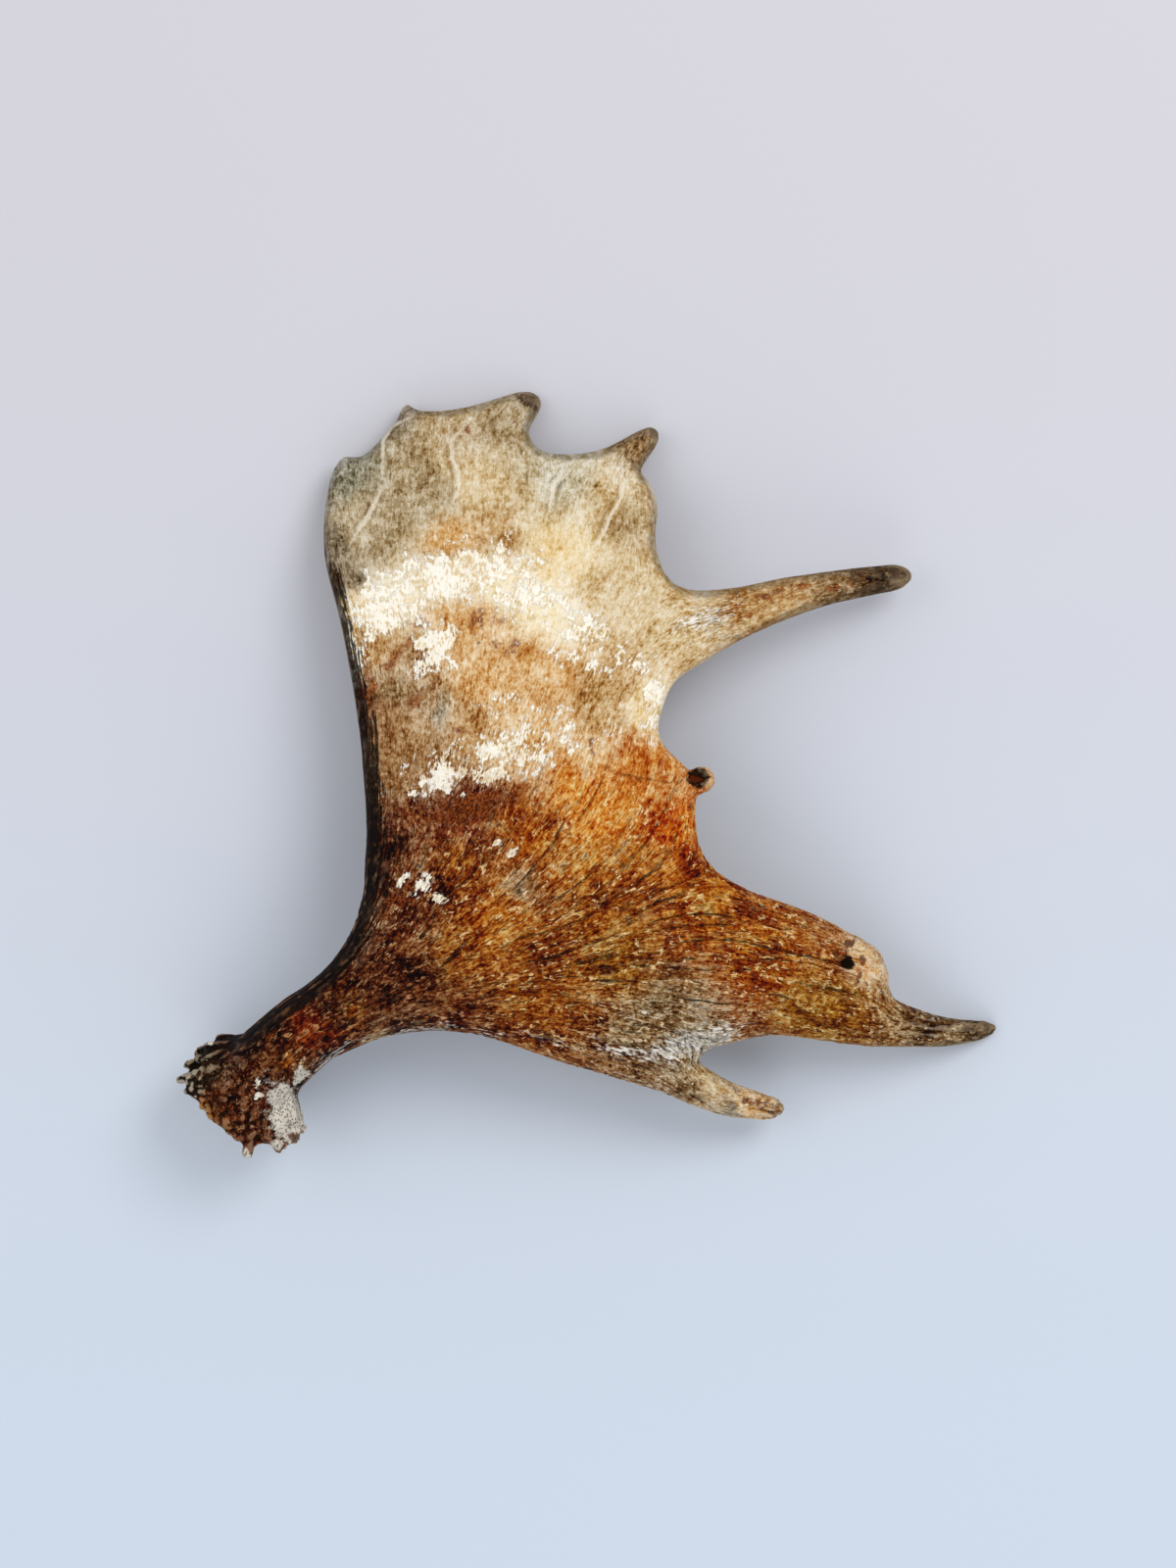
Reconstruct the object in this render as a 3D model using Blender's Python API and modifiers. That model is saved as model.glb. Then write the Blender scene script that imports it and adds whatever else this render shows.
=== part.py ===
"""A shed moose antler: one piece of bone, with its burr, beam, palm, brow palm and points.

It lies hollow side down and rests on its burr, an upper point and the brow tip. +X runs from
the burr towards the brow tip, +Y towards the upper points of the palm, and +Z up. The origin
is at the middle of the bounding box, on the surface that the antler rests on.
"""

import math

import bmesh
import bpy
import numpy as np
from mathutils import Matrix, Vector
from mathutils.geometry import delaunay_2d_cdt

MM = 0.001
NAME = "antler"

# The antler's edge seen from above, in millimetres, clockwise from the burr.
REAR_EDGE = [
    (-225, -174), (-214, -161), (-187, -139), (-155, -111), (-139, -82), (-135, -46), (-136, -12),
    (-140, 30), (-147, 72), (-154, 104), (-161, 130), (-163, 150), (-161, 175),
]
FIRST_POINT = [(-157, 190), (-150, 199), (-141, 197), (-130, 206)]
SECOND_POINT = [(-119, 219), (-115, 230), (-111, 234), (-107, 228), (-93, 226)]
THIRD_POINT = [
    (-72, 229), (-54, 235), (-41, 239), (-32, 238), (-27, 232), (-31, 224), (-36, 213), (-29, 201),
]
FOURTH_POINT = [
    (-10, 199), (8, 202), (24, 210), (37, 217), (44, 216), (45, 208), (38, 197), (33, 188),
]
UPPER_BAY = [(40, 179), (44, 164), (42, 150), (44, 132), (51, 119)]
LONG_TINE = [
    (62, 114), (87, 115), (117, 121), (147, 126), (176, 130), (193, 131), (202, 124), (195, 116),
    (174, 111), (148, 105), (120, 95), (92, 82), (70, 69),
]
MIDDLE_BAY = [(53, 57), (46, 42), (43, 29), (47, 18), (58, 8), (65, -4), (66, -30), (70, -47)]
BROW_KNOB = [(82, -60), (104, -71), (134, -82), (159, -94), (176, -105), (183, -119), (186, -133)]
BROW_TIP = [
    (205, -143), (230, -149), (249, -151), (256, -155), (251, -161), (233, -166), (204, -167),
    (165, -165), (138, -161), (110, -158),
]
FORK = [(87, -162), (74, -166), (67, -172), (72, -177)]
FORK_TINE = [
    (88, -187), (108, -195), (119, -199), (123, -205), (116, -211), (90, -210), (67, -203),
]
LOWER_EDGE = [
    (45, -193), (14, -183), (-18, -174), (-46, -163), (-72, -156), (-98, -154), (-124, -158),
    (-149, -168), (-168, -180), (-179, -193), (-188, -205),
]
OUTLINE = (
    REAR_EDGE + FIRST_POINT + SECOND_POINT + THIRD_POINT + FOURTH_POINT + UPPER_BAY + LONG_TINE
    + MIDDLE_BAY + BROW_KNOB + BROW_TIP + FORK + FORK_TINE + LOWER_EDGE
)

# Where the bone lies and how thick it may grow: x, y, height of its middle, half thickness, in mm.
# A stretch narrower than twice the half thickness comes out round.
STATIONS = {
    "burr": (-211, -190, 40, 60),
    "beam": (-178, -158, 58, 55),
    "beam_end": (-148, -128, 71, 36),
    "palm_root": (-105, -90, 80, 21),
    "rear_edge": (-134, -8, 64, 13),
    "rear_edge_high": (-156, 110, 42, 10),
    "palm_low": (-48, -50, 83, 11.5),
    "palm_middle": (-45, 20, 79, 8),
    "palm_high": (-60, 100, 64, 7),
    "palm_top": (-75, 165, 42, 6.5),
    "first_point": (-148, 190, 17, 9),
    "second_point": (-110, 226, 10, 12),
    "third_point": (-33, 228, 10, 13),
    "third_bay": (-10, 195, 27, 8),
    "fourth_point": (40, 207, 15, 14),
    "upper_bay": (38, 150, 42, 8),
    "tine_root": (60, 90, 58, 18),
    "tine_middle": (120, 108, 49, 24),
    "tine_tip": (192, 123, 27, 24),
    "middle_bay": (46, 30, 69, 10),
    "stub": (64, 0, 68, 10),
    "bay_low": (66, -40, 70, 10),
    "brow_middle": (70, -105, 72, 13.5),
    "brow_knob": (168, -118, 46, 20),
    "brow_outer": (196, -155, 32, 22),
    "brow_tip": (246, -156, 9, 20),
    "lower_edge_near": (-100, -155, 66, 24),
    "lower_edge": (0, -178, 56, 20),
    "fork_root": (60, -190, 46, 22),
    "fork_tip": (112, -203, 27, 24),
}
THINNEST, THICKEST = 5.5, 60.0  # the half thickness is kept between these
PLATE_SPACING = 6.0
RIM_RINGS = (1.2, 3.4)  # depths inside the edge, where the rounded rim needs points of its own

# The burr: a rough collar round the beam's end, facing down and away from the palm.
BURR_CENTRE = Vector((-211, -198, 36))
BURR_FACING = Vector((-0.52, -0.69, -0.50)).normalized()
BURR_ACROSS = Vector((0.8, -0.6, 0.0))  # towards its right end, seen from above
# Radius of the collar at each distance behind its rim, from the domed scar outwards and back.
COLLAR_PROFILE = [
    (-12, 0), (-11, 9), (-8, 19), (-4, 26), (0, 30), (5, 30), (12, 28), (24, 25), (46, 21),
]
# Knobs round the burr: angle from the right end, distances out and forward, radius.
# A thick cluster at the left, small ones over the top, long fingers at the right.
KNOBS = [
    (-8, 38, -4, 4.6), (6, 37, -8, 4.0), (17, 40, -7, 4.8), (30, 41, -3, 5.0), (43, 36, -4, 3.8),
    (55, 39, 6, 4.8), (68, 34, 3, 3.4), (79, 32, 4, 2.9), (89, 33, 2, 3.3), (100, 32, 4, 2.8),
    (111, 33, 2, 3.2), (122, 33, 3, 2.9), (133, 35, 2, 3.4), (143, 38, 5, 3.8), (151, 40, -3, 3.6),
    (159, 41, 7, 3.9), (166, 39, -10, 3.4), (173, 41, 1, 4.0), (181, 38, -15, 3.6), (189, 40, -4, 4.2),
    (199, 36, -17, 4.4), (206, 38, 2, 4.4), (220, 36, -3, 4.6), (234, 37, 1, 4.8), (248, 36, -3, 4.6),
    (263, 37, 1, 5.0), (278, 36, -2, 4.6), (293, 37, 1, 5.0), (308, 36, -3, 4.6), (323, 37, 0, 5.0),
    (338, 36, -4, 4.6),
]
# Each knob ends a ridge that rises from the beam this far inwards and behind it.
RIDGE_IN, RIDGE_BACK = 13.0, 15.0
RIDGE_ROUNDS = 6
# The flange that swells out of the beam at the right: angle, distances out and forward, radius.
FLANGE = [(4, 29, -7, 6.5), (22, 31, -5, 7.0), (40, 30, -3, 6.5), (196, 29, -10, 6.0), (176, 30, -6, 6.0)]

# The broken stub in the middle bay.
STUB_CENTRE = Vector((69, -2, 66))
STUB_RADIUS = 9.0

# The round core of the beam, from inside the burr to the root of the palm: x, y, z, radius.
BEAM_PATH = [
    (-207, -192, 41, 25.5), (-197, -177, 50, 24.5), (-171, -154, 61, 23.5), (-145, -136, 69, 21.5),
    (-118, -120, 75, 16.5),
]
BEAM_STEPS = 12  # rounds in each stretch of the core

VOXEL = 2.0
SMOOTHING = 3
TRIANGLES = 9000
FLAT_DEPTH = 0.7  # how much is worn off where it rests


def clear_scene():
    for obj in list(bpy.data.objects):
        bpy.data.objects.remove(obj, do_unlink=True)


def closed_spline(points, spacing):
    """A smooth closed line through the points, as points about that far apart."""
    points = np.array(points, float)
    line = []
    for i in range(len(points)):
        before, start, end, after = (points[(i + k) % len(points)] for k in (-1, 0, 1, 2))
        knots = np.cumsum([0] + [
            math.sqrt(np.linalg.norm(b - a)) for a, b in ((before, start), (start, end), (end, after))
        ])
        steps = max(1, round(np.linalg.norm(end - start) / spacing))
        for t in np.linspace(knots[1], knots[2], steps, endpoint=False):
            a1 = before + (start - before) * (t - knots[0]) / (knots[1] - knots[0])
            a2 = start + (end - start) * (t - knots[1]) / (knots[2] - knots[1])
            a3 = end + (after - end) * (t - knots[2]) / (knots[3] - knots[2])
            b1 = a1 + (a2 - a1) * (t - knots[0]) / (knots[2] - knots[0])
            b2 = a2 + (a3 - a2) * (t - knots[1]) / (knots[3] - knots[1])
            line.append(b1 + (b2 - b1) * (t - knots[1]) / (knots[2] - knots[1]))
    return np.array(line)


def edge_distance(places, line):
    """Distance of each place from a closed line, in the plane."""
    start = line
    along = np.roll(line, -1, axis=0) - line
    offset = places[:, None, :] - start[None, :, :]
    share = (offset * along).sum(2) / (along * along).sum(1)
    nearest = offset - np.clip(share, 0, 1)[:, :, None] * along
    return np.sqrt((nearest ** 2).sum(2)).min(1)


def inside(places, line):
    """Whether each place is inside the closed line, by the even-odd rule."""
    x, y = places[:, 0:1], places[:, 1:2]
    x0, y0 = line[:, 0], line[:, 1]
    x1, y1 = np.roll(x0, -1), np.roll(y0, -1)
    crosses = (y0 > y) != (y1 > y)
    with np.errstate(divide="ignore", invalid="ignore"):
        at = x0 + (y - y0) * (x1 - x0) / (y1 - y0)
    return (crosses & (x < at)).sum(1) % 2 == 1


def plan_points(line):
    """The edge, rings just inside it and an even lattice over the rest, as one array."""
    following, previous = np.roll(line, -1, axis=0), np.roll(line, 1, axis=0)
    tangent = following - previous
    tangent /= np.linalg.norm(tangent, axis=1)[:, None]
    inward = np.column_stack([tangent[:, 1], -tangent[:, 0]])  # the line runs clockwise
    found = [line]
    for depth in RIM_RINGS:
        ring = line + inward * depth
        found.append(ring[edge_distance(ring, line) > 0.93 * depth])
    low, high = line.min(0), line.max(0)
    rows = []
    row_height = PLATE_SPACING * math.sqrt(3) / 2
    for i, y in enumerate(np.arange(low[1], high[1], row_height)):
        x = np.arange(low[0] + (i % 2) * PLATE_SPACING / 2, high[0], PLATE_SPACING)
        rows.append(np.column_stack([x, np.full(len(x), y)]))
    lattice = np.concatenate(rows)
    clear = inside(lattice, line) & (edge_distance(lattice, line) > RIM_RINGS[-1] + 0.5 * PLATE_SPACING)
    found.append(lattice[clear])
    return np.concatenate(found)


def plan_mesh(line):
    """The plan as (points, triangles, how many points are on the rim), rim points first."""
    points = plan_points(line)
    rim = [(i, (i + 1) % len(line)) for i in range(len(line))]
    made = delaunay_2d_cdt([Vector(p) for p in points], rim, [], 1, 1e-4)
    return np.array([tuple(v) for v in made[0]]), np.array(made[2]), len(line)


def thin_plate(places, values, at):
    """The smoothest surface through the values at some places, read at other places."""

    def kernel(a, b):
        squared = ((a[:, None] - b[None]) ** 2).sum(2) + 1e-9
        return 0.5 * squared * np.log(squared)

    def linear(a):
        return np.column_stack([np.ones(len(a)), a])

    n = len(places)
    system = np.zeros((n + 3, n + 3))
    system[:n, :n] = kernel(places, places)
    system[:n, n:] = linear(places)
    system[n:, :n] = linear(places).T
    weights = np.linalg.solve(system, np.concatenate([values, np.zeros(3)]))
    return kernel(at, places) @ weights[:n] + linear(at) @ weights[n:]


def inflated(points, triangles, rim_count, limit):
    """Half thickness at each point of the plan, 0 on the rim.

    Its square u solves lap(u) - 2 u / limit^2 = -2, so a narrow bar comes out round and a wide
    plate levels off at the limit.
    """
    n = len(points)
    stiffness = np.zeros((n, n))
    area = np.zeros(n)
    corners = points[triangles]
    for k in range(3):
        a, b = triangles[:, (k + 1) % 3], triangles[:, (k + 2) % 3]
        to_a = corners[:, (k + 1) % 3] - corners[:, k]
        to_b = corners[:, (k + 2) % 3] - corners[:, k]
        cross = np.abs(to_a[:, 0] * to_b[:, 1] - to_a[:, 1] * to_b[:, 0])
        half_cotangent = 0.5 * (to_a * to_b).sum(1) / cross
        for i, j, sign in ((a, b, -1), (b, a, -1), (a, a, 1), (b, b, 1)):
            np.add.at(stiffness, (i, j), sign * half_cotangent)
        np.add.at(area, triangles[:, k], cross / 6)
    free = np.arange(rim_count, n)
    system = stiffness[np.ix_(free, free)] + np.diag(2 * area[free] / limit[free] ** 2)
    squared = np.zeros(n)
    squared[free] = np.linalg.solve(system, 2 * area[free])
    return np.sqrt(np.maximum(squared, 0))


def plate():
    """The beam, palm, brow palm and points: the inflated plan, laid over a curved middle."""
    line = closed_spline(OUTLINE, 4.5)
    points, triangles, rim_count = plan_mesh(line)
    stations = np.array(list(STATIONS.values()), float)
    places = stations[:, :2]
    heights = thin_plate(places, stations[:, 2], points)
    limit = np.clip(thin_plate(places, stations[:, 3], points), THINNEST, THICKEST)
    half = inflated(points, triangles, rim_count, limit)
    slopes = [
        thin_plate(places, stations[:, 2], points + step) - heights
        for step in (np.array([1.0, 0.0]), np.array([0.0, 1.0]))
    ]
    normal = np.column_stack([-slopes[0], -slopes[1], np.ones(len(points))])
    normal /= np.linalg.norm(normal, axis=1)[:, None]
    middle = np.column_stack([points, heights])
    upper = middle + normal * half[:, None]
    lower = (middle - normal * half[:, None])[rim_count:]
    below = np.where(triangles < rim_count, triangles, triangles + len(points) - rim_count)
    faces = np.concatenate([triangles, below[:, ::-1]])
    mesh = bpy.data.meshes.new("plate")
    mesh.from_pydata(np.concatenate([upper, lower]).tolist(), [], faces.tolist())
    return mesh


def burr_place():
    """Places a shape turned about Z on the burr: +Z comes to face the way the burr does."""
    up = BURR_FACING.cross(BURR_ACROSS)
    turn = Matrix((BURR_ACROSS, up, BURR_FACING)).transposed().to_4x4()
    return Matrix.Translation(BURR_CENTRE) @ turn


def collar():
    """The burr's flared collar and domed scar, turned about the beam's axis."""
    mesh = bpy.data.meshes.new("collar")
    shape = bmesh.new()
    profile = [shape.verts.new((radius, 0, -back)) for back, radius in COLLAR_PROFILE]
    profile.append(shape.verts.new((0, 0, -COLLAR_PROFILE[-1][0])))
    edges = [shape.edges.new(pair) for pair in zip(profile, profile[1:])]
    bmesh.ops.spin(
        shape, geom=profile + edges, axis=(0, 0, 1), cent=(0, 0, 0), steps=40, angle=2 * math.pi
    )
    bmesh.ops.remove_doubles(shape, verts=shape.verts, dist=0.01)
    bmesh.ops.recalc_face_normals(shape, faces=shape.faces)
    shape.transform(burr_place())
    shape.to_mesh(mesh)
    shape.free()
    return mesh


def burr_ridges():
    """The ridges and knobs round the burr, as rounds set so close together that they merge."""
    mesh = bpy.data.meshes.new("burr_ridges")
    shape = bmesh.new()
    for degrees, out, forward, radius in KNOBS + FLANGE:
        turn = burr_place() @ Matrix.Rotation(math.radians(degrees), 4, "Z")
        for t in np.linspace(0, 1, RIDGE_ROUNDS):
            place = Matrix.Translation((out - RIDGE_IN * (1 - t), 0, forward - RIDGE_BACK * (1 - t)))
            size = radius * (0.75 + 0.25 * t)
            bmesh.ops.create_icosphere(shape, subdivisions=2, radius=size, matrix=turn @ place)
    shape.to_mesh(mesh)
    shape.free()
    return mesh


def beam_core():
    """The beam's round core, as rounds set so close together that they merge in one bar."""
    mesh = bpy.data.meshes.new("beam_core")
    shape = bmesh.new()
    path = np.array(BEAM_PATH, float)
    for start, end in zip(path, path[1:]):
        for t in np.linspace(0, 1, BEAM_STEPS, endpoint=False):
            x, y, z, radius = start + (end - start) * t
            place = Matrix.Translation((x, y, z))
            bmesh.ops.create_icosphere(shape, subdivisions=3, radius=radius, matrix=place)
    shape.to_mesh(mesh)
    shape.free()
    return mesh


def stub():
    mesh = bpy.data.meshes.new("stub")
    shape = bmesh.new()
    place = Matrix.Translation(STUB_CENTRE)
    bmesh.ops.create_icosphere(shape, subdivisions=3, radius=STUB_RADIUS, matrix=place)
    shape.to_mesh(mesh)
    shape.free()
    return mesh


def added(name, mesh, collection):
    obj = bpy.data.objects.new(name, mesh)
    collection.objects.link(obj)
    return obj


def evaluated_mesh(obj):
    graph = bpy.context.evaluated_depsgraph_get()
    return bpy.data.meshes.new_from_object(obj.evaluated_get(graph))


def grown_together(meshes, collection):
    """The pieces as one closed skin, its joins softened, at an even fine spacing."""
    shape = bmesh.new()
    for mesh in meshes:
        shape.from_mesh(mesh)
    joined = bpy.data.meshes.new("joined")
    shape.to_mesh(joined)
    shape.free()
    obj = added("skin", joined, collection)
    remesh = obj.modifiers.new("remesh", "REMESH")
    remesh.mode = "VOXEL"
    remesh.voxel_size = VOXEL
    smooth = obj.modifiers.new("smooth", "SMOOTH")
    smooth.iterations = SMOOTHING
    return obj


def reduced(obj, count):
    """The object's evaluated mesh, collapsed to about that many triangles."""
    mesh = evaluated_mesh(obj)
    mesh.calc_loop_triangles()
    share = count / len(mesh.loop_triangles)
    obj.modifiers.clear()
    obj.data = mesh
    collapse = obj.modifiers.new("collapse", "DECIMATE")
    collapse.ratio = share
    collapse.use_collapse_triangulate = True
    mesh = evaluated_mesh(obj)
    obj.modifiers.clear()
    return mesh


def lowest_near(points, place, radius):
    near = np.linalg.norm(points[:, :2] - np.array(place), axis=1) < radius
    return points[near][points[near][:, 2].argmin()]


def laid_down(mesh):
    """Turns the mesh until the burr, an upper point and the brow tip are all lowest."""
    points = np.array([tuple(v.co) for v in mesh.vertices])
    feet = [
        Vector(lowest_near(points, place, radius))
        for place, radius in (
            (BURR_CENTRE[:2], 60), (STATIONS["third_point"][:2], 30), (STATIONS["brow_tip"][:2], 40)
        )
    ]
    up = (feet[1] - feet[0]).cross(feet[2] - feet[0])
    if up.z < 0:
        up.negate()
    mesh.transform(up.rotation_difference(Vector((0, 0, 1))).to_matrix().to_4x4())


def worn_flat(mesh):
    """Cuts a little off the lowest places, which leaves the flats that the antler rests on."""
    shape = bmesh.new()
    shape.from_mesh(mesh)
    level = min(v.co.z for v in shape.verts) + FLAT_DEPTH
    cut = bmesh.ops.bisect_plane(
        shape, geom=shape.verts[:] + shape.edges[:] + shape.faces[:],
        plane_co=(0, 0, level), plane_no=(0, 0, -1), clear_outer=True, dist=0.05,
    )
    rims = [e for e in cut["geom_cut"] if isinstance(e, bmesh.types.BMEdge)]
    bmesh.ops.holes_fill(shape, edges=rims)
    bmesh.ops.triangulate(shape, faces=shape.faces)
    shape.to_mesh(mesh)
    shape.free()


def centred(mesh):
    """Moves the middle of the bounding box to x = y = 0, and its underside to z = 0."""
    points = np.array([tuple(v.co) for v in mesh.vertices])
    low, high = points.min(0), points.max(0)
    middle = (low + high) / 2
    mesh.transform(Matrix.Translation((-middle[0], -middle[1], -low[2])))


def bone():
    material = bpy.data.materials.new("antler_bone")
    material.use_nodes = True
    shader = material.node_tree.nodes["Principled BSDF"]
    shader.inputs["Base Color"].default_value = (0.36, 0.22, 0.11, 1)
    shader.inputs["Roughness"].default_value = 0.6
    shader.inputs["Metallic"].default_value = 0
    return material


def main():
    clear_scene()
    collection = bpy.data.collections.new("moose_antler")
    bpy.context.scene.collection.children.link(collection)
    skin = grown_together([plate(), beam_core(), collar(), burr_ridges(), stub()], collection)
    mesh = reduced(skin, TRIANGLES)
    bpy.data.objects.remove(skin)
    laid_down(mesh)
    worn_flat(mesh)
    centred(mesh)
    mesh.transform(Matrix.Scale(MM, 4))
    mesh.materials.clear()
    mesh.materials.append(bone())
    mesh.shade_smooth()
    added(NAME, mesh, collection)


main()
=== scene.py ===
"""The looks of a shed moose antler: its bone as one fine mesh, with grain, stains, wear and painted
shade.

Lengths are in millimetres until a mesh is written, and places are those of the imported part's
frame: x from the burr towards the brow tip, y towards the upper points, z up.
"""

import math

import bmesh
import bpy
import numpy as np
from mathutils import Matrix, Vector


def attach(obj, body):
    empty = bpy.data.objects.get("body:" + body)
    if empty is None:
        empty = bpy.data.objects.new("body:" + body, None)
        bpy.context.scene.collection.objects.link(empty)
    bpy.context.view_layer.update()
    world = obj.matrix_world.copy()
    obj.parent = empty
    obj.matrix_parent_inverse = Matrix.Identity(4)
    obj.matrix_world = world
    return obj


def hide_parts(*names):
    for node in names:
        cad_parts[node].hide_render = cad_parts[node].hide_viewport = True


MM = 0.001
NODE = "antler"
VOXEL = 1.3  # spacing of the fine skin's points
SMOOTHING = 10  # rounds, enough to lose the CAD solid's facets
TRIANGLES = 194000  # of the finished mesh
CELL = 2.0  # spacing of the plan grid that the grain is worked out on
SOLVER_ROUNDS = 1500
FAR = 1e9  # past every real distance and height
OCTAVE_SHIFT = 31.7  # keeps the grain's octaves from repeating one another

# The burr: its middle, the way that its scar faces, and how far its pearls and the scar reach.
BURR = np.array((-210, -198, 36))
BURR_FACING = np.array((-0.52, -0.69, -0.50))
PEARLS_REACH = 62
SCAR_REACH = 52


# ---------------------------------------------------------------- numbers over the surface

def hashed(cell, seed):
    """A repeatable number from 0 to 1 for each whole-number cell, its bits scattered by big factors."""
    n = cell[..., 0] * 374761393 + cell[..., 1] * 668265263 + cell[..., 2] * 1274126177
    n = (n + seed * 974634777) & 0xFFFFFFFF
    n = ((n ^ (n >> 13)) * 1103515245) & 0xFFFFFFFF
    n = ((n ^ (n >> 15)) * 668265263) & 0xFFFFFFFF
    return ((n ^ (n >> 16)) & 0xFFFFFF) / 0xFFFFFF


def noise(places, size, seed=0, octaves=1):
    """Smooth noise from -1 to 1 with features about that size, at rows of x, y, z."""
    total = np.zeros(len(places))
    weight = 0.0
    for octave in range(octaves):
        scaled = places * (2 ** octave / size)
        cell = np.floor(scaled).astype(np.int64)
        t = scaled - cell
        t = t * t * (3 - 2 * t)
        value = np.zeros(len(places))
        for corner in range(8):
            bits = np.array([corner & 1, corner >> 1 & 1, corner >> 2 & 1])
            share = np.prod(np.where(bits, t, 1 - t), axis=1)
            value += share * hashed(cell + bits, seed + 17 * octave)
        total += (2 * value - 1) * 0.5 ** octave
        weight += 0.5 ** octave
    return total / weight


def smoothstep(low, high, value):
    """0 at low, 1 at high and a smooth change between them. Low may be the larger one."""
    t = np.clip((value - low) / (high - low), 0, 1)
    return t * t * (3 - 2 * t)


def segment_distance(places, start, end):
    """Distance of places in the plan from a segment, and how far along it they are, 0 to 1."""
    along = np.array(end[:2], float) - np.array(start[:2], float)
    offset = places[:, :2] - np.array(start[:2], float)
    share = np.clip(offset @ along / (along @ along), 0, 1)
    return np.linalg.norm(offset - share[:, None] * along, axis=1), share


def warped(places, size, reach, seed):
    """The places, moved about in the plan by noise."""
    moved = places.copy()
    for axis in range(2):
        moved[:, axis] += reach * noise(places, size, seed + axis, 2)
    return moved


def bumps(places, spots):
    """Soft round bumps: x, y, radius and height of each, added up."""
    total = np.zeros(len(places))
    for x, y, radius, height in spots:
        squared = ((places[:, :2] - (x, y)) ** 2).sum(1) / radius ** 2
        total += height * np.exp(-squared)
    return total


def pearls(places, size, seed):
    """Round pearls, one to each cell of that size: 1 at their middles and 0 between them."""
    cell = np.floor(places / size).astype(np.int64)
    nearest = np.full(len(places), 9.0)
    for step in np.ndindex(3, 3, 3):
        corner = cell + np.array(step) - 1
        jitter = np.column_stack([hashed(corner, seed + axis) for axis in range(3)])
        middle = (corner + 0.15 + 0.7 * jitter) * size
        nearest = np.minimum(nearest, ((places - middle) ** 2).sum(1) / size ** 2)
    return np.clip(1 - nearest / 0.36, 0, 1)


def strokes(places, lines, width):
    """How much of each place lies on lines drawn through lists of points, fading at their ends."""
    total = np.zeros(len(places))
    for line in lines:
        spans = list(zip(line, line[1:]))
        for i, (start, end) in enumerate(spans):
            distance, share = segment_distance(places, start, end)
            fade = np.sin(np.pi * (0.08 + 0.84 * (i + share) / len(spans)))
            total = np.maximum(total, np.exp(-(distance / width) ** 2) * np.sqrt(fade))
    return total


def patches(places, spots):
    """The strongest of some soft ellipses at each place."""
    total = np.zeros(len(places))
    for x, y, length, width, degrees, strength in spots:
        angle = math.radians(degrees)
        dx, dy = places[:, 0] - x, places[:, 1] - y
        u = (dx * math.cos(angle) + dy * math.sin(angle)) / length
        v = (dy * math.cos(angle) - dx * math.sin(angle)) / width
        total = np.maximum(total, strength * np.exp(-0.7 * (u * u + v * v)))
    return total


# ---------------------------------------------------------------- the bone's mesh

def welded(mesh):
    """Joins the points that neighbouring facets share."""
    shape = bmesh.new()
    shape.from_mesh(mesh)
    bmesh.ops.remove_doubles(shape, verts=shape.verts, dist=1e-6)
    shape.to_mesh(mesh)
    shape.free()


def evaluated(obj):
    """The object's mesh with its modifiers applied."""
    graph = bpy.context.evaluated_depsgraph_get()
    return bpy.data.meshes.new_from_object(obj.evaluated_get(graph))


def fine_skin(node):
    """The CAD solid's skin at an even fine spacing, with its facets smoothed away."""
    mesh = node.data.copy()
    mesh.materials.clear()
    welded(mesh)
    obj = bpy.data.objects.new("antler_bone", mesh)
    bpy.context.scene.collection.objects.link(obj)
    remesh = obj.modifiers.new("remesh", "REMESH")
    remesh.mode = "VOXEL"
    remesh.voxel_size = VOXEL * MM
    smooth = obj.modifiers.new("smooth", "SMOOTH")
    smooth.iterations = SMOOTHING
    fine = evaluated(obj)
    obj.modifiers.clear()
    obj.data = fine
    return obj


def vertices(mesh):
    """Positions in millimetres."""
    flat = np.empty(len(mesh.vertices) * 3)
    mesh.vertices.foreach_get("co", flat)
    return flat.reshape(-1, 3) / MM


def normals(mesh):
    """The way that the surface faces at each point."""
    flat = np.empty(len(mesh.vertices) * 3)
    mesh.vertices.foreach_get("normal", flat)
    return flat.reshape(-1, 3)


def curvature(mesh, places, direction):
    """How far each point lies above (+) or below (-) its neighbours' middle, in millimetres."""
    edges = np.empty(len(mesh.edges) * 2, int)
    mesh.edges.foreach_get("vertices", edges)
    a, b = edges.reshape(-1, 2).T
    count = np.bincount(np.concatenate([a, b]), minlength=len(places))

    def averaged(values):
        total = np.zeros(values.shape)
        np.add.at(total, a, values[b])
        np.add.at(total, b, values[a])
        return total / (count[:, None] if values.ndim > 1 else count)

    bend = ((places - averaged(places)) * direction).sum(1)
    for _ in range(2):
        bend = 0.5 * bend + 0.5 * averaged(bend)
    return bend


def store(mesh, name, values):
    """Puts numbers, vectors or colours on the mesh's points under a name."""
    kind, slot = ("FLOAT", "value") if values.ndim == 1 else (
        ("FLOAT_VECTOR", "vector") if values.shape[1] == 3 else ("FLOAT_COLOR", "color")
    )
    layer = mesh.attributes.new(name, kind, "POINT")
    layer.data.foreach_set(slot, values.astype(np.float32).ravel())


def opaque(*channels):
    """Red, green and blue from rows of numbers, with an alpha of 1."""
    return np.column_stack([*channels, np.ones(len(channels[0]))])


# ---------------------------------------------------------------- the grain

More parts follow.
